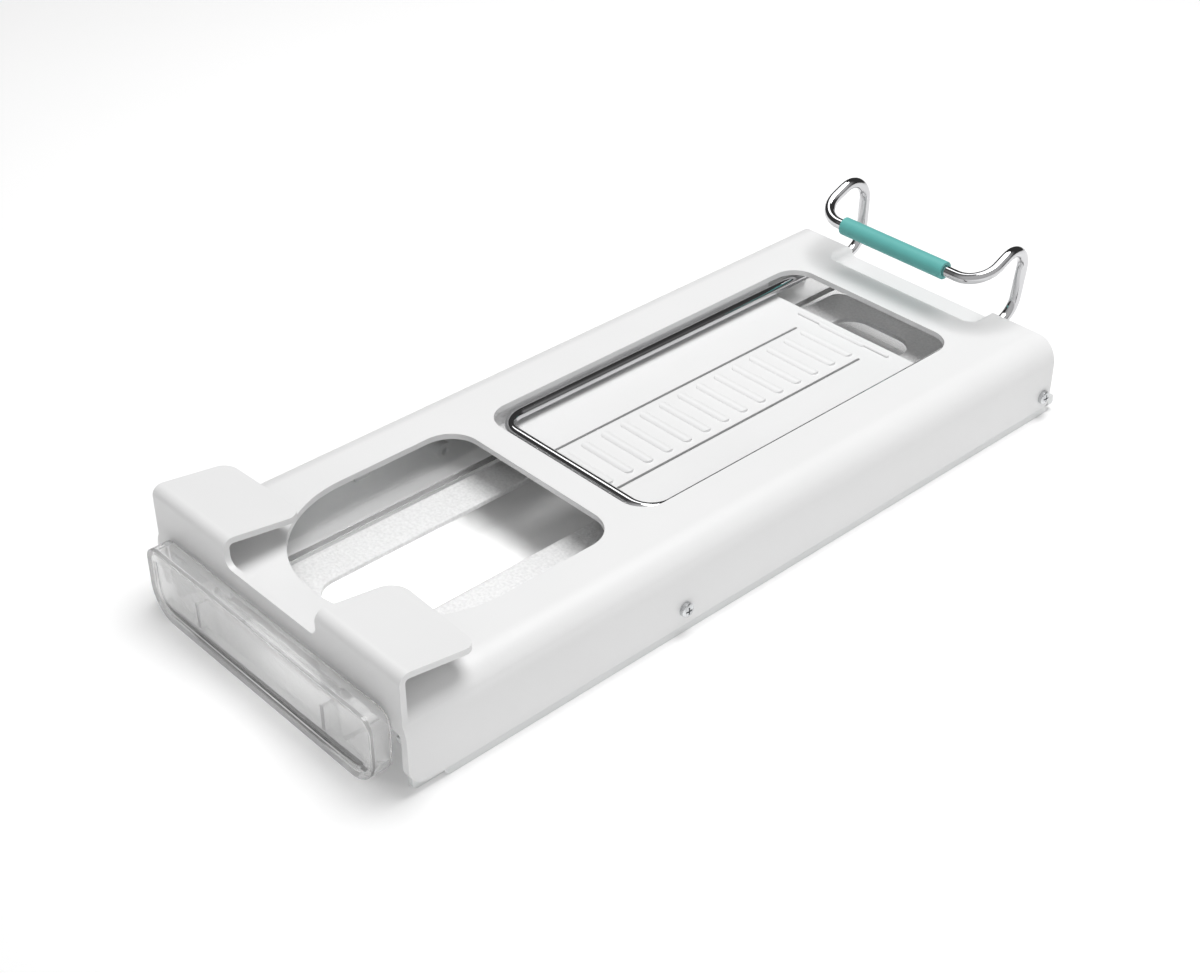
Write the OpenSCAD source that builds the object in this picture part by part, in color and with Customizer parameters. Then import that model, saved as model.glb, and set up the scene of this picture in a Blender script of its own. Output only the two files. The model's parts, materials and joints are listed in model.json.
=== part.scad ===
// Under-shelf storage drawer: a bent white cover hangs from a shelf by two front tabs
// and a sliding wire hook, and a clear drawer runs in rails inside it.
// Millimetres. X across, Y from the drawer front to the back, Z up.
// The origin is the centre of the whole object's footprint, at the rails' feet.

/* [Cover] */
// Overall width of the cover
cover_w = 138.6; // [138:0.1:140]
// Length of the cover from front to back
cover_l = 326; // [324:1:330]
// Height of the cover's top face above the feet
cover_h = 33.7; // [33.7:0.1:36]
// Wall thickness of the cover
wall = 2.3; // [2:0.1:2.5]
// Outer radius of the bend from the top face to the sides
side_bend = 11.5; // [10:0.5:12]
// Half width of the front window
window_half = 44.2; // [43.8:0.1:44.4]
// Half width of the rear window, over the wire's arms
rear_window_half = 42.7; // [42:0.1:43]

/* [Hook tabs] */
// Rise of the tabs above the top face
tab_rise = 14; // [12:0.1:18]
// Reach of the tabs towards the back, along their inner edges
tab_reach = 32.7; // [28:0.1:35]
// Distance from the centre line to a tab's outer edge
tab_outer = 67.6; // [66:0.1:68]
// Distance from the centre line to a tab's inner edge
tab_inner = 25; // [20:1:28]
// Downward slope of the tabs, in degrees
tab_slope = 8.9; // [6:0.1:10]

/* [Wire hook] */
// Diameter of the wire
wire_d = 4.5; // [4:0.1:4.5]
// Number of ratchet ribs
rib_count = 14; // [8:1:14]
// Distance between the ratchet ribs
rib_pitch = 10; // [8:0.5:10]
// Length of the soft sleeve
sleeve_l = 52.8; // [40:0.1:56]

/* [Drawer] */
// Width of the drawer front
front_w = 124.6; // [120:0.1:126]
// Distance that the drawer pulls out
drawer_travel = 230; // [150:5:235]
// Width of the slot in the insert
slot_w = 36; // [20:1:44]

/* [Hidden] */
$fn = 64;
eps = 1;
slide_gap = 0.35;

// Heights
feet_gap = 3.3;
ceiling = cover_h - wall;
flange_top = cover_h - 13.5;
flange_t = 2;
tray_rim = cover_h - 12.5;
tray_bottom = 1;
insert_top = cover_h - 16.1;
insert_t = 2;
plate_top = cover_h - 8.6;
plate_t = 2;
rib_h = 1;
wire_z = plate_top + rib_h + slide_gap + wire_d / 2;
screw_z = [cover_h - 23.4, cover_h - 24.3];
screw_y = [119.7, cover_l - 5.1];

// Cover, seen from above
inner_half = cover_w / 2 - wall;
front_window_y = [16, 112.5];
rear_window_y = [124.5, 295.3];
sill_top = cover_h + 4.2;
mouth_half = inner_half - 0.7;
mouth_top = 26.2;
mouth_r = 5;
side_front_r = 8;
recess_half = 40;
recess_depth = 4;
recess_y = cover_l - 16.4;
recess_run = 6;
recess_floor_half = 37.6;
recess_bottom = cover_h - recess_depth - 1.6;
recess_r = 9;

// Ratchet plate
plate_half = 45;
plate_y = [120.5, 282.3];
tongue_half = 16.7;
slit_w = 1.25;
slit_end = 268.5;
rib_first = 138.1;
rib_half = 13;
rib_w = 4.4;
ridge_y = 278;
side_wall = 1.7;

// Rails, fixed to the cover's sides
rail_web = 2;
rail_in = 60;
rail_lip = 1.8;
rail_end = cover_l + 3;
boss_h = 5;
screw_r = 1.5;
stop_x = [55.5, 62];
stop_l = 6;
stop_h = 2;
tray_lug_y = 311;

// Drawer
tray_half = 35.8;
tray_wall = 1.5;
ledge_w = 1.2;
tray_y = [-0.5, 318];
front_y = [-8.5, -0.5];
front_z = [2.5, cover_h - 2.7];
front_skin = 2;
front_rim = 4.5;
front_dish = 0.9;
front_shelf_z = 8.1;
flange_half = inner_half - rail_web - 0.4;

// Wire hook, where its centre line turns
arm_x = 40.3;
crest_x = 41.9;
bar_y = 130.8;
riser_y = 334.8;
crest_y = 337.6;
crest_z = cover_h + 32.5;
grip_y = 308;
grip_z = cover_h + 19.6;
sleeve_d = 7.5;
sleeve_x = -1.5;

// The whole object's middle, front to back
mid_y = (front_y[0] + crest_y + wire_d / 2) / 2;

module placed() translate([0, -mid_y, 0]) children();

// Extrudes an outline drawn across the width and upwards from y = from to y = to
module along_y(from, to) translate([0, to, 0]) rotate([90, 0, 0]) linear_extrude(to - from) children();

// Extrudes an outline drawn from front to back and upwards from x = from to x = to
module along_x(from, to) translate([from, 0, 0]) rotate([90, 0, 90]) linear_extrude(to - from) children();

// Extrudes a plan outline from z = from to z = to
module along_z(from, to) translate([0, 0, from]) linear_extrude(to - from) children();

// Box between two corners
module block(lo, hi) translate(lo) cube(hi - lo);

module both_sides() {
    children();
    mirror([1, 0, 0]) children();
}

// Rectangle whose corners are rounded by r, counted from the low left one anticlockwise
module rounded(lo, hi, r) difference() {
    translate(lo) square(hi - lo);
    for (i = [0:3]) if (r[i] > 0) {
        side = [[-1, -1], [1, -1], [1, 1], [-1, 1]][i];
        corner = [side.x < 0 ? lo.x : hi.x, side.y < 0 ? lo.y : hi.y];
        centre = [corner.x - side.x * r[i], corner.y - side.y * r[i]];
        difference() {
            translate(centre) mirror([side.x < 0 ? 1 : 0, 0]) mirror([0, side.y < 0 ? 1 : 0])
                square(r[i] + eps);
            translate(centre) circle(r[i]);
        }
    }
}

// Cross-section of the cover, inset by t
module cover_section(t) rounded([t - cover_w / 2, -eps], [cover_w / 2 - t, cover_h - t],
                                [0, 0, side_bend - t, side_bend - t]);

module cover_shell() difference() {
    intersection() {
        along_y(0, cover_l) cover_section(0);
        along_x(-cover_w, cover_w)
            rounded([0, feet_gap], [cover_l, cover_h], [side_front_r, 3, 2.5, 1.5]);
    }
    along_y(wall, cover_l + eps) cover_section(wall);
    along_y(-eps, wall + eps)
        rounded([-mouth_half, -eps], [mouth_half, mouth_top], [0, 0, mouth_r, mouth_r]);
}

// One hook tab from the side: upright, fold and sloping top
module tab_profile() {
    fold_r = 3.7;
    fold_z = cover_h + tab_rise - fold_r;
    root_z = cover_h - 10;
    translate([0, root_z]) square([wall, fold_z - root_z]);
    translate([fold_r, fold_z]) {
        intersection() {
            difference() {
                circle(fold_r);
                circle(fold_r - wall);
            }
            polygon([[0, 0], [20 * sin(tab_slope), 20 * cos(tab_slope)], [-20, 20], [-20, 0]]);
        }
        rotate(-tab_slope) translate([0, fold_r - wall]) square([tab_reach, wall]);
    }
}

// Right-hand tab from above: its back edge slants forward towards the side
module tab_plan() {
    slant = 2.8;
    r = [6.9, 5.2];
    x = [tab_inner + r[0], tab_outer - r[1]];
    y = [for (i = [0, 1]) tab_reach - (x[i] - tab_inner) * tan(slant) - r[i] / cos(slant)];
    edge = [sin(slant), cos(slant)];
    for (i = [0, 1]) translate([x[i], y[i]]) circle(r[i]);
    polygon([[tab_inner, -eps], [tab_outer, -eps], [tab_outer, y[1]], [x[1], y[1]] + r[1] * edge,
             [x[0], y[0]] + r[0] * edge, [tab_inner, y[0]]]);
}

module hook_tab() intersection() {
    along_x(tab_inner, tab_outer) tab_profile();
    along_z(0, 2 * cover_h) tab_plan();
}

// Low sill between the tabs, with a fillet up to each tab
module front_sill() along_y(0, wall) {
    fillet = 3.5;
    translate([-tab_inner, cover_h - 5]) square([2 * tab_inner, sill_top - cover_h + 5]);
    both_sides() difference() {
        translate([tab_inner - fillet, sill_top]) square(fillet);
        translate([tab_inner - fillet, sill_top + fillet]) circle(fillet);
    }
}

// What a soft step down from the top face to the recess floor leaves
module soft_step() {
    run = recess_run;
    ease = (run * run + recess_depth * recess_depth) / (4 * recess_depth);
    intersection() {
        translate([0, cover_h - ease]) circle(ease);
        translate([-eps, cover_h - recess_depth]) square([run / 2 + eps, recess_depth]);
    }
    difference() {
        translate([run / 2, cover_h - recess_depth]) square([run / 2, recess_depth / 2]);
        translate([run, cover_h - recess_depth + ease]) circle(ease);
    }
}

// Recess at the back, open to the rear, with a soft step at its front and ends
module recess_cut() intersection() {
    along_x(-cover_w, cover_w) difference() {
        translate([recess_y, cover_h - recess_depth]) square([cover_l, recess_depth + eps]);
        translate([recess_y, 0]) soft_step();
    }
    along_y(0, cover_l + eps) difference() {
        translate([-recess_half, cover_h - recess_depth]) square([2 * recess_half, recess_depth + eps]);
        both_sides() translate([-recess_half, 0]) soft_step();
    }
    along_z(0, cover_h + 2 * eps)
        rounded([-recess_half, recess_y], [recess_half, cover_l + eps], [recess_r, recess_r, 0, 0]);
}

// Skin under the recess
module recess_floor() block([-recess_floor_half, recess_y + 2.4, recess_bottom],
                            [recess_floor_half, cover_l - 0.5, ceiling + 0.5]);

module front_window() {
    translate([0, front_window_y[0] + window_half]) circle(window_half);
    rounded([-window_half, front_window_y[0] + window_half], [window_half, front_window_y[1]],
            [0, 0, 12.5, 12.5]);
}

module rear_window() rounded([-rear_window_half, rear_window_y[0]], [rear_window_half, rear_window_y[1]],
                             [10.5, 10.5, 10.5, 10.5]);

module screw_holes(r, from, to)
    for (i = [0, 1]) translate([from, screw_y[i], screw_z[i]]) rotate([0, 90, 0])
        cylinder(h = to - from, r = r);

// White cover: top, sides, front tabs, sill and rear recess in one moulding
module cover() color("white") placed() difference() {
    union() {
        cover_shell();
        both_sides() hook_tab();
        front_sill();
        recess_floor();
    }
    recess_cut();
    along_z(cover_h - wall - eps, cover_h + eps) {
        front_window();
        rear_window();
    }
    both_sides() screw_holes(1.7, inner_half - eps, cover_w);
}

// White ribbed plate under the rear window, hung from the cover by a wall at each side. Two
// slits leave a tongue that is free at its front.
module ratchet_plate() color("whitesmoke") placed() {
    difference() {
        along_z(plate_top - plate_t, plate_top)
            rounded([-plate_half, plate_y[0]], [plate_half, plate_y[1]], [0, 0, 1, 1]);
        both_sides() along_z(plate_top - plate_t - eps, plate_top + eps) {
            translate([tongue_half - slit_w / 2, plate_y[0] - eps])
                square([slit_w, slit_end - plate_y[0] + eps]);
            translate([tongue_half, slit_end]) circle(slit_w / 2);
        }
    }
    for (i = [0:rib_count - 1]) ratchet_rib(rib_first + i * rib_pitch, rib_half, rib_w);
    ratchet_rib(ridge_y, 12, 3.4);
    ratchet_rib(ridge_y, 24, 1.8);
    both_sides() block([plate_half - side_wall, plate_y[0], plate_top - plate_t],
                       [plate_half, plate_y[1] - 2, ceiling]);
}

// Rib across the tongue, rounded on top and with round ends
module ratchet_rib(y, half, w) {
    r = (w * w / 4 + rib_h * rib_h) / (2 * rib_h);
    foot = w / 2 - 0.1;
    intersection() {
        along_x(-half, half) translate([y, plate_top + rib_h - r]) circle(r);
        along_z(plate_top - plate_t / 2, plate_top + rib_h + eps) {
            translate([foot - half, y - foot]) square([2 * (half - foot), 2 * foot]);
            both_sides() translate([half - foot, y]) circle(foot);
        }
    }
}

// Saddles that carry the wire's arms at the back of the cover
module wire_guides() color("whitesmoke") placed() both_sides() difference() {
    reach = wire_d / 2 + slide_gap;
    y = [cover_l - 14, cover_l - 4];
    union() {
        block([arm_x - 2 * reach, y[0], wire_z - 4.2], [arm_x + reach + 1.9, y[1], recess_bottom]);
        block([arm_x, y[0], wire_z - 4.2], [arm_x + reach + 1.9, y[1], ceiling]);
    }
    translate([arm_x, y[0] - eps, wire_z]) rotate([-90, 0, 0])
        cylinder(h = y[1] - y[0] + 2 * eps, r = reach);
    block([arm_x - reach, y[0] - eps, wire_z], [arm_x + reach, y[1] + eps, ceiling + eps]);
}

// Right-hand rail: web, foot, heel behind the cover, two lips that hold the drawer's flange,
// screw bosses and stop
module rail() {
    web_x = inner_half - rail_web;
    lip_low = flange_top - flange_t - slide_gap;
    lip_high = flange_top + slide_gap;
    lip_y = [3, rail_end - 4];
    foot_y = 14;
    difference() {
        union() {
            along_x(web_x, inner_half)
                rounded([wall + slide_gap, 0], [rail_end, lip_high + rail_lip], [2, 2, 2, 2]);
            along_x(web_x, cover_w / 2 - 0.3) {
                rounded([foot_y, 0], [cover_l, feet_gap - 0.4], [2.5, 1, 0, 0]);
                rounded([cover_l + 0.3, feet_gap - 0.7], [rail_end + 0.5, feet_gap + 3.8], [0, 1, 1.5, 0]);
            }
            block([rail_in, lip_y[0], lip_low - rail_lip], [inner_half, lip_y[1], lip_low]);
            block([rail_in, lip_y[0], lip_high], [inner_half, lip_y[1], lip_high + rail_lip]);
            screw_holes(3.5, web_x - boss_h, inner_half - 0.5);
            rail_stop(lip_high);
        }
        screw_holes(screw_r + 0.05, web_x - boss_h - eps, inner_half + eps);
    }
}

// Block that catches the drawer's lug at the end of its travel
module rail_stop(z) {
    y = tray_lug_y - drawer_travel - slide_gap;
    block([stop_x[0], y - stop_l, z], [stop_x[1], y, z + stop_h]);
}

module rail_left() color("gainsboro") placed() mirror([1, 0, 0]) rail();

module rail_right() color("gainsboro") placed() rail();

// Pan head screw, its head outside the cover's side
module rail_screw() rotate([0, 90, 0]) difference() {
    head_r = 2.75;
    head_h = 2.2;
    dome_r = 6;
    shank = 8.5;
    union() {
        cylinder(h = head_h / 2, r = head_r);
        intersection() {
            translate([0, 0, head_h - dome_r]) sphere(dome_r);
            cylinder(h = head_h, r = head_r);
        }
        translate([0, 0, -shank]) cylinder(h = shank + head_h / 4, r = screw_r);
    }
    for (turn = [0, 90]) rotate([0, 0, turn]) translate([-1.5, -0.3, head_h / 2]) cube([3, 0.6, head_h]);
}

module rail_screws() color("silver") placed() both_sides() for (i = [0, 1])
    translate([cover_w / 2, screw_y[i], screw_z[i]]) rail_screw();

// Clear tray with flanges that run in the rails
module drawer_tray() color("lightcyan", 0.5) placed() {
    inner = tray_half - tray_wall;
    front_r = 2;
    back_r = 8;
    difference() {
        along_z(tray_bottom, tray_rim)
            rounded([-tray_half, tray_y[0]], [tray_half, tray_y[1]], [front_r, front_r, back_r, back_r]);
        along_z(tray_bottom + tray_wall, tray_rim + eps)
            rounded([-inner, tray_y[0] + tray_wall], [inner, tray_y[1] - tray_wall],
                    [for (r = [front_r, front_r, back_r, back_r]) r - tray_wall]);
    }
    both_sides() {
        along_z(flange_top - flange_t, flange_top)
            rounded([tray_half - 0.5, 4], [flange_half, tray_y[1] - 2], [0, 3, 3, 0]);
        block([stop_x[0], tray_lug_y, flange_top - 0.5],
              [rail_in - 0.4, tray_lug_y + 5, flange_top + stop_h]);
        block([inner - ledge_w, tray_y[0] + 4, insert_top - insert_t - 2.5],
              [inner + 0.5, tray_y[1] - 10, insert_top - insert_t]);
    }
}

// Frosted insert with a long slot, resting on the tray's ledges
module drawer_insert() color("white", 0.8) placed() {
    half = tray_half - tray_wall - 0.3;
    slot_r = 9.6;
    along_z(insert_top - insert_t, insert_top) difference() {
        rounded([-half, 2], [half, tray_y[1] - 3], [1, 1, 6, 6]);
        rounded([-slot_w / 2, 26.8], [slot_w / 2, 304], [slot_r, slot_r, slot_r, slot_r]);
    }
}

// Clear hollow drawer front: a shell, two walls behind its face and a shelf between its ends
module drawer_front() color("lightcyan", 0.5) placed() {
    face_y = front_y[0] + front_skin;
    lap = 0.5;
    difference() {
        front_block(front_y[0], front_y[1], 0);
        front_block(face_y, front_y[1] + eps, front_skin);
        front_block(front_y[0] - eps, front_y[0] + front_dish, front_rim);
    }
    both_sides() block([tray_half - tray_wall, face_y - lap, front_shelf_z - 3],
                       [tray_half, front_y[1], flange_top]);
    block([5 - front_w / 2, face_y - lap, front_shelf_z],
          [front_w / 2 - 5, front_y[1] - 3, front_shelf_z + 1]);
}

// Outline of the drawer front, inset all round
module front_block(from, to, inset) along_y(from, to)
    rounded([inset - front_w / 2, front_z[0] + inset], [front_w / 2 - inset, front_z[1] - inset],
            [12 - inset, 12 - inset, 5.5 - inset, 5.5 - inset]);

function unit(v) = v / norm(v);

// Point i of a closed path, counted round
function at(path, i) = path[(i + len(path)) % len(path)];

// Distance from a corner to where its bend begins
function setback(path, radii, i) =
    let (u = unit(at(path, i - 1) - at(path, i)), v = unit(at(path, i + 1) - at(path, i)))
    at(radii, i) / tan(acos(u * v) / 2);

// Puts its children's x, y and z axes along three given directions
module oriented(x, y, z, origin) multmatrix([
    [x[0], y[0], z[0], origin[0]],
    [x[1], y[1], z[1], origin[1]],
    [x[2], y[2], z[2], origin[2]],
    [0, 0, 0, 1]]) children();

// Bend at corner i of a closed path of round wire. It laps a little into the straight
// stretches at both ends, and is thinner than they are by a hair, so that they join cleanly.
module wire_bend(path, radii, i, r) {
    lap = 0.3;
    thinner = 0.01;
    corner = at(path, i);
    u = unit(at(path, i - 1) - corner);
    v = unit(at(path, i + 1) - corner);
    half_angle = acos(u * v) / 2;
    bend = at(radii, i);
    centre = corner + unit(u + v) * bend / sin(half_angle);
    out = unit(corner + u * bend / tan(half_angle) - centre);
    oriented(out, -u, cross(out, -u), centre) rotate([0, 0, -lap])
        rotate_extrude(angle = 180 - 2 * half_angle + 2 * lap)
            translate([bend, 0]) circle(r - thinner);
}

// Straight stretch from corner i to the next one
module wire_run(path, radii, i, r) {
    along = unit(at(path, i + 1) - at(path, i));
    from = at(path, i) + along * setback(path, radii, i);
    to = at(path, i + 1) - along * setback(path, radii, i + 1);
    across = unit(cross(abs(along.x) > 0.9 ? [0, 0, 1] : [1, 0, 0], along));
    oriented(across, cross(along, across), along, from) cylinder(h = norm(to - from), r = r);
}

function mirrored(points) = [for (i = [len(points) - 1:-1:0]) [-points[i].x, points[i].y, points[i].z]];

// Closed loop of chromed wire: front bar, arms, risers, crests and grip bar
module wire_hook() color("silver") placed() {
    right = [[arm_x, bar_y, wire_z], [arm_x, riser_y, wire_z], [crest_x, crest_y, crest_z],
             [crest_x + 0.4, grip_y, grip_z]];
    right_bends = [10, 10, 9.2, 11.5];
    path = concat(right, mirrored(right));
    radii = concat(right_bends, [for (i = [3:-1:0]) right_bends[i]]);
    for (i = [0:len(path) - 1]) {
        wire_bend(path, radii, i, wire_d / 2);
        wire_run(path, radii, i, wire_d / 2);
    }
}

// Soft sleeve on the grip bar
module hook_sleeve() color("mediumturquoise") placed()
    translate([sleeve_x - sleeve_l / 2, grip_y, grip_z]) rotate([0, 90, 0]) difference() {
        cylinder(h = sleeve_l, r = sleeve_d / 2);
        translate([0, 0, -eps]) cylinder(h = sleeve_l + 2 * eps, r = wire_d / 2 + 0.02);
    }

cover();
ratchet_plate();
wire_guides();
rail_left();
rail_right();
rail_screws();
drawer_tray();
drawer_insert();
drawer_front();
wire_hook();
hook_sleeve();
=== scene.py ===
import json
import math

import bpy
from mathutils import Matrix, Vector

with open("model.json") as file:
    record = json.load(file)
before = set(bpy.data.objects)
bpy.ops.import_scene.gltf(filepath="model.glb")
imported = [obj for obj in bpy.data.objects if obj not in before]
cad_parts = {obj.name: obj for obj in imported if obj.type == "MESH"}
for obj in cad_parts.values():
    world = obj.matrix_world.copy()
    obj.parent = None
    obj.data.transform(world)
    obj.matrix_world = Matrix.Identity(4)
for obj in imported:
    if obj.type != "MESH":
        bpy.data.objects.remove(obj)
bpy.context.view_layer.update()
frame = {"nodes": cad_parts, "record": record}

# The view: azimuth 0 looks along +Y, elevation is above the horizon.
CAMERA_TARGET = Vector((0.0207, -0.0405, 0.0337))
CAMERA_DISTANCE = 0.6847
CAMERA_AZIMUTH = 47.1
CAMERA_ELEVATION = 34.87
CAMERA_LENS = 58.53

# The light: a wide overhead lamp a little to the back, a soft box at the back left that only
# polished metal shows, and a world that is bright behind the camera's right shoulder.
KEY_PLACE = (0.0, 0.22, 1.14)
KEY_SIZE = 0.8
KEY_WATTS = 11.8
REFLECTOR_PLACE = (-0.62, 0.33, 0.86)
REFLECTOR_AIM = (0, 0.15, 0)
REFLECTOR_SIZE = 0.45
REFLECTOR_WATTS = 1.2
WORLD_BRIGHT_SIDE = (0.66, -0.61, 0.45)
WORLD_DARK = 0.05
WORLD_BRIGHT = 0.6

FLOOR_HALF = 4.0
FLOOR_GLOW = 0.1

# Modifier angles, in degrees: faces flatter than the first are joined, and edges sharper than
# the second are rounded.
FLAT_ANGLE = 0.3
SHARP_ANGLE = 35


# ---------------------------------------------------------------- materials


class Shader:
    """A Principled material with the few nodes that the looks below share."""

    def __init__(self, name, **sockets):
        self.material = bpy.data.materials.new(name)
        self.material.use_nodes = True
        self.tree = self.material.node_tree
        self.bsdf = self.tree.nodes["Principled BSDF"]
        for socket, value in sockets.items():
            self.bsdf.inputs[socket.replace("_", " ")].default_value = value
        self.coords = self.tree.nodes.new("ShaderNodeTexCoord")

    def node(self, kind, **settings):
        made = self.tree.nodes.new(kind)
        for key, value in settings.items():
            if key in made.inputs:
                made.inputs[key].default_value = value
            else:
                setattr(made, key, value)
        return made

    def link(self, source, target):
        self.tree.links.new(source, target)

    def stretched(self, scale):
        """Object coordinates scaled by (x, y, z)."""
        mapping = self.node("ShaderNodeMapping")
        mapping.inputs["Scale"].default_value = scale
        self.link(self.coords.outputs["Object"], mapping.inputs["Vector"])
        return mapping.outputs["Vector"]

    def noise(self, scale, detail=2.0, stretch=(1, 1, 1)):
        made = self.node("ShaderNodeTexNoise")
        made.inputs["Scale"].default_value = scale
        made.inputs["Detail"].default_value = detail
        self.link(self.stretched(stretch), made.inputs["Vector"])
        return made.outputs["Fac"]

    def spread(self, value, low, high):
        """Maps a 0 to 1 value onto low to high."""
        made = self.node("ShaderNodeMapRange")
        made.inputs["To Min"].default_value = low
        made.inputs["To Max"].default_value = high
        self.link(value, made.inputs["Value"])
        return made.outputs["Result"]

    def vary_roughness(self, value, low, high):
        self.link(self.spread(value, low, high), self.bsdf.inputs["Roughness"])

    def vary_colour(self, value, dark, light):
        ramp = self.node("ShaderNodeValToRGB")
        ramp.color_ramp.elements[0].position = 0.3
        ramp.color_ramp.elements[1].position = 0.7
        ramp.color_ramp.elements[0].color = (*dark, 1)
        ramp.color_ramp.elements[1].color = (*light, 1)
        self.link(value, ramp.inputs["Fac"])
        self.link(ramp.outputs["Color"], self.bsdf.inputs["Base Color"])

    def bump(self, value, height, strength=1.0):
        """Relief of the given height in metres."""
        made = self.node("ShaderNodeBump")
        made.inputs["Strength"].default_value = strength
        made.inputs["Distance"].default_value = height
        self.link(value, made.inputs["Height"])
        previous = self.bsdf.inputs["Normal"].links
        if previous:
            self.link(previous[0].from_socket, made.inputs["Normal"])
        self.link(made.outputs["Normal"], self.bsdf.inputs["Normal"])

    def light_through(self, tint):
        """Lets a tinted part of the lamps' light straight through."""
        output = self.tree.nodes["Material Output"]
        clear = self.node("ShaderNodeBsdfTransparent", Color=(tint, tint, tint, 1))
        mix = self.node("ShaderNodeMixShader")
        ray = self.node("ShaderNodeLightPath")
        self.link(ray.outputs["Is Shadow Ray"], mix.inputs[0])
        self.link(self.bsdf.outputs["BSDF"], mix.inputs[1])
        self.link(clear.outputs["BSDF"], mix.inputs[2])
        self.link(mix.outputs["Shader"], output.inputs["Surface"])


def white_plastic():
    """Satin injection-moulded white with a faint orange peel."""
    look = Shader("white_plastic", IOR=1.46, Specular_IOR_Level=0.4)
    look.vary_colour(look.noise(18, 3), (0.80, 0.80, 0.80), (0.82, 0.82, 0.82))
    look.vary_roughness(look.noise(60, 4), 0.36, 0.46)
    look.bump(look.noise(900, 2), 0.00001)
    return look.material


def rail_plastic():
    """Satin pale grey moulding, a little glossier than the cover."""
    look = Shader("rail_plastic", IOR=1.49, Specular_IOR_Level=0.5)
    look.vary_colour(look.noise(30, 3), (0.74, 0.75, 0.75), (0.80, 0.81, 0.81))
    look.vary_roughness(look.noise(80, 3), 0.25, 0.38)
    look.bump(look.noise(500, 2, (1, 0.1, 1)), 0.00002)
    return look.material


def clear_plastic():
    """Clear moulding: slightly wavy, so its reflections wander."""
    look = Shader("clear_plastic", IOR=1.49, Transmission_Weight=0.85)
    look.vary_colour(look.noise(12, 2), (0.98, 0.98, 0.98), (0.995, 0.995, 0.995))
    look.vary_roughness(look.noise(40, 3), 0.05, 0.13)
    look.bump(look.noise(60, 1), 0.0002)
    look.light_through(0.97)
    return look.material


def cloudy_plastic():
    """The drawer front: clear moulding with a cloudy, pebbled skin."""
    look = Shader("cloudy_plastic", IOR=1.49, Transmission_Weight=0.8)
    look.vary_colour(look.noise(25, 4), (0.93, 0.93, 0.93), (0.99, 0.99, 0.99))
    look.vary_roughness(look.noise(70, 4), 0.04, 0.13)
    look.bump(look.noise(90, 2), 0.0002)
    look.bump(look.noise(600, 2), 0.00001)
    look.light_through(0.93)
    return look.material


def frosted_plastic():
    """Frosted moulding with a fine stipple."""
    look = Shader("frosted_plastic", IOR=1.49, Transmission_Weight=0.4)
    look.vary_colour(look.noise(900, 2), (0.74, 0.74, 0.74), (0.9, 0.9, 0.9))
    look.vary_roughness(look.noise(300, 2), 0.25, 0.45)
    look.bump(look.noise(1500, 3), 0.0002)
    look.light_through(0.9)
    return look.material


def chrome():
    """Polished plate over drawn wire: faint lines along the bends."""
    look = Shader("chrome_wire", Metallic=1.0)
    look.vary_colour(look.noise(40, 2), (0.58, 0.58, 0.59), (0.66, 0.66, 0.67))
    look.vary_roughness(look.noise(120, 3), 0.03, 0.08)
    look.bump(look.noise(200, 2), 0.00001)
    return look.material


def screw_steel():
    """Bright zinc plate with the mottling of barrel-plated heads."""
    look = Shader("screw_steel", Metallic=1.0)
    look.vary_colour(look.noise(400, 2), (0.50, 0.51, 0.52), (0.66, 0.67, 0.68))
    look.vary_roughness(look.noise(900, 2), 0.18, 0.34)
    look.bump(look.noise(2500, 2), 0.00002)
    return look.material


def turquoise_sleeve():
    """Extruded silicone: matt, with faint drawn lines along its length."""
    look = Shader("turquoise_sleeve", IOR=1.43, Sheen_Weight=0.15, Sheen_Roughness=0.5)
    look.vary_colour(look.noise(60, 3), (0.105, 0.41, 0.385), (0.125, 0.455, 0.43))
    look.vary_roughness(look.noise(200, 3), 0.48, 0.6)
    look.bump(look.noise(500, 2, (0.05, 1, 1)), 0.00003)
    return look.material


def floor_paint():
    """Matt white sweep; the glow stands for the light that a whole studio sends back."""
    look = Shader("floor_paint", Roughness=0.9, Specular_IOR_Level=0.1)
    look.vary_colour(look.noise(3, 2), (0.955, 0.955, 0.955), (0.96, 0.96, 0.96))
    look.bsdf.inputs["Emission Color"].default_value = (1, 1, 1, 1)
    look.bsdf.inputs["Emission Strength"].default_value = FLOOR_GLOW
    return look.material


LOOKS = {"drawer_front": cloudy_plastic()}
MATERIALS = {
    "white_plastic": white_plastic(),
    "rail_plastic": rail_plastic(),
    "screw_steel": screw_steel(),
    "clear_plastic": clear_plastic(),
    "frosted_plastic": frosted_plastic(),
    "chrome_wire": chrome(),
    "turquoise_sleeve": turquoise_sleeve(),
}


# ---------------------------------------------------------------- CAD nodes


def soften(node, width, segments=3):
    """Rounds a CAD node's sharp edges with modifiers, and shades it smooth."""
    piece = frame["nodes"][node]
    piece.data.shade_smooth()
    weld = piece.modifiers.new("weld", "WELD")
    weld.merge_threshold = 1e-6
    flat = piece.modifiers.new("flat", "DECIMATE")
    flat.decimate_type = "DISSOLVE"
    flat.angle_limit = math.radians(FLAT_ANGLE)
    bevel = piece.modifiers.new("bevel", "BEVEL")
    bevel.width = width
    bevel.segments = segments
    bevel.limit_method = "ANGLE"
    bevel.angle_limit = math.radians(SHARP_ANGLE)
    bevel.miter_outer = "MITER_ARC"
    bevel.use_clamp_overlap = True
    normals = piece.modifiers.new("normals", "WEIGHTED_NORMAL")
    normals.keep_sharp = False
    normals.weight = 80


# Radius of the rounding that each node's edges get, in metres
SOFT_EDGES = {
    "cover": 0.001,
    "ratchet_plate": 0.0003,
    "wire_guides": 0.0003,
    "rail_left": 0.0003,
    "rail_right": 0.0003,
    "rail_screws": 0.0001,
    "drawer_tray": 0.0004,
    "drawer_insert": 0.0004,
    "drawer_front": 0.0006,
    "hook_sleeve": 0.0003,
}

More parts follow.
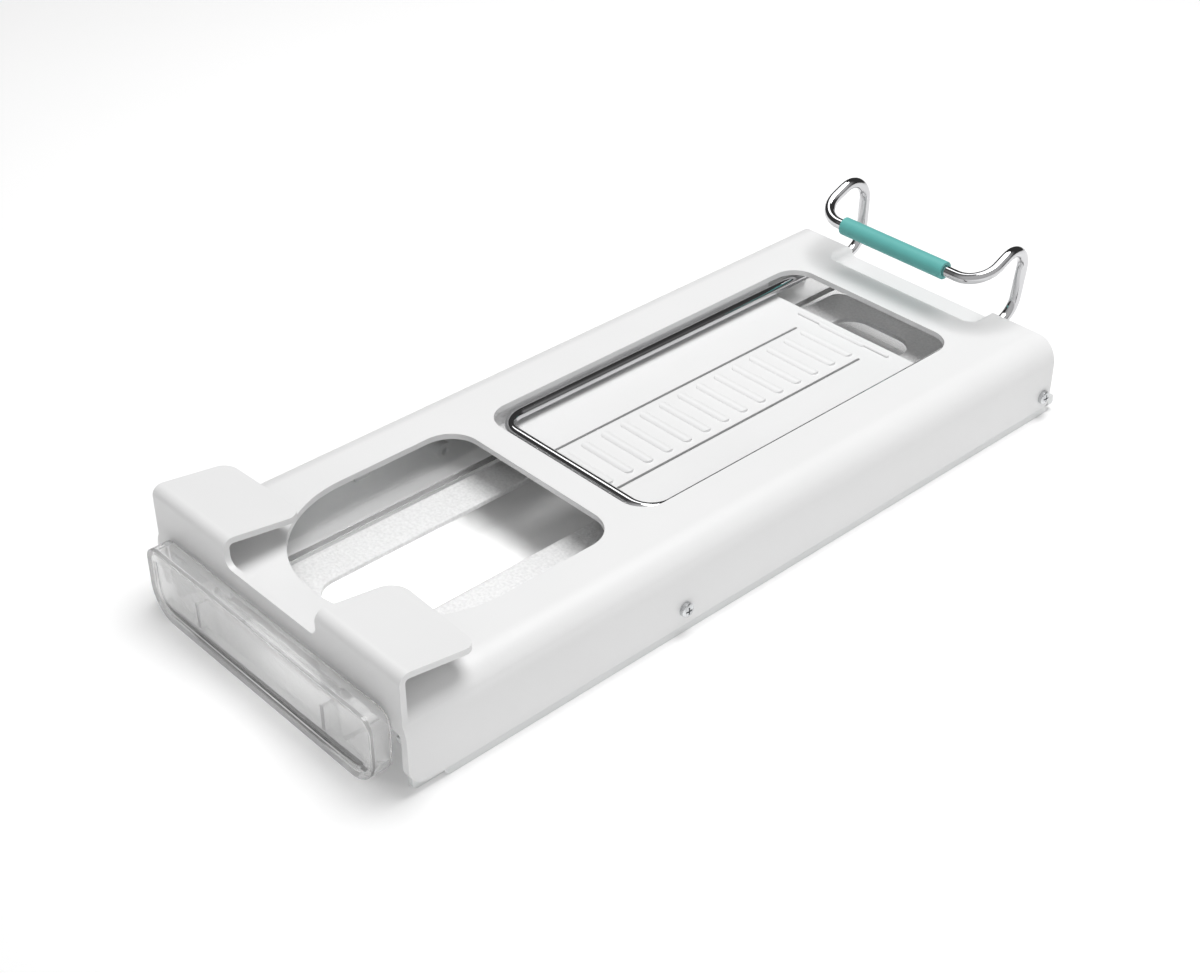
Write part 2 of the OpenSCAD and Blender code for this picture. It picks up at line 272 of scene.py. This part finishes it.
for part in frame["record"]["subparts"]:
    node = frame["nodes"][part["node"]]
    node.data.materials.clear()
    node.data.materials.append(LOOKS.get(part["node"], MATERIALS[part["material_slot"]]))
    if part["node"] in SOFT_EDGES:
        soften(part["node"], SOFT_EDGES[part["node"]])
    else:
        node.data.shade_smooth()


# ---------------------------------------------------------------- the set


def plane(name, half):
    """Square face on the ground, from -half to half."""
    mesh = bpy.data.meshes.new(name)
    corners = [(-half, -half, 0), (half, -half, 0), (half, half, 0), (-half, half, 0)]
    mesh.from_pydata(corners, [], [(0, 1, 2, 3)])
    made = bpy.data.objects.new(name, mesh)
    bpy.context.scene.collection.objects.link(made)
    return made


def area_light(name, place, aim, size, watts):
    """Round soft light at a place, turned towards its aim."""
    data = bpy.data.lights.new(name, "AREA")
    data.shape = "DISK"
    data.size = size
    data.energy = watts
    made = bpy.data.objects.new(name, data)
    made.location = place
    made.rotation_euler = (Vector(aim) - Vector(place)).to_track_quat("-Z", "Y").to_euler()
    bpy.context.scene.collection.objects.link(made)
    return made


def reflector(place, aim, size, watts):
    """Soft box that only shows as a highlight in what is polished."""
    made = area_light("reflector", place, aim, size, watts)
    made.visible_diffuse = False
    made.visible_transmission = False


def make_world():
    """Dark studio behind the object that grows bright behind the camera."""
    world = bpy.data.worlds.new("studio")
    bpy.context.scene.world = world
    world.use_nodes = True
    nodes, links = world.node_tree.nodes, world.node_tree.links
    background = nodes["Background"]
    background.inputs["Color"].default_value = (1, 1, 1, 1)
    coords = nodes.new("ShaderNodeTexCoord")
    toward = nodes.new("ShaderNodeVectorMath")
    toward.operation = "DOT_PRODUCT"
    toward.inputs[1].default_value = WORLD_BRIGHT_SIDE
    spread = nodes.new("ShaderNodeMapRange")
    spread.inputs["From Min"].default_value = 0.1
    spread.inputs["From Max"].default_value = 0.7
    spread.inputs["To Min"].default_value = WORLD_DARK
    spread.inputs["To Max"].default_value = WORLD_BRIGHT
    spread.interpolation_type = "SMOOTHSTEP"
    links.new(coords.outputs["Generated"], toward.inputs[0])
    links.new(toward.outputs["Value"], spread.inputs["Value"])
    links.new(spread.outputs["Result"], background.inputs["Strength"])


def make_camera():
    """Camera on its azimuth and elevation, looking at its target."""
    a, e = math.radians(CAMERA_AZIMUTH), math.radians(CAMERA_ELEVATION)
    back = Vector((math.sin(a) * math.cos(e), -math.cos(a) * math.cos(e), math.sin(e)))
    data = bpy.data.cameras.new("camera")
    data.lens = CAMERA_LENS
    data.clip_end = 20
    camera = bpy.data.objects.new("camera", data)
    camera.location = CAMERA_TARGET + back * CAMERA_DISTANCE
    camera.rotation_euler = (-back).to_track_quat("-Z", "Y").to_euler()
    bpy.context.scene.collection.objects.link(camera)
    bpy.context.scene.camera = camera


floor = plane("floor", FLOOR_HALF)
floor.data.materials.append(floor_paint())

bpy.context.scene.view_settings.view_transform = "Standard"
make_world()
area_light("key", KEY_PLACE, (0, 0, 0), KEY_SIZE, KEY_WATTS)
reflector(REFLECTOR_PLACE, REFLECTOR_AIM, REFLECTOR_SIZE, REFLECTOR_WATTS)
make_camera()
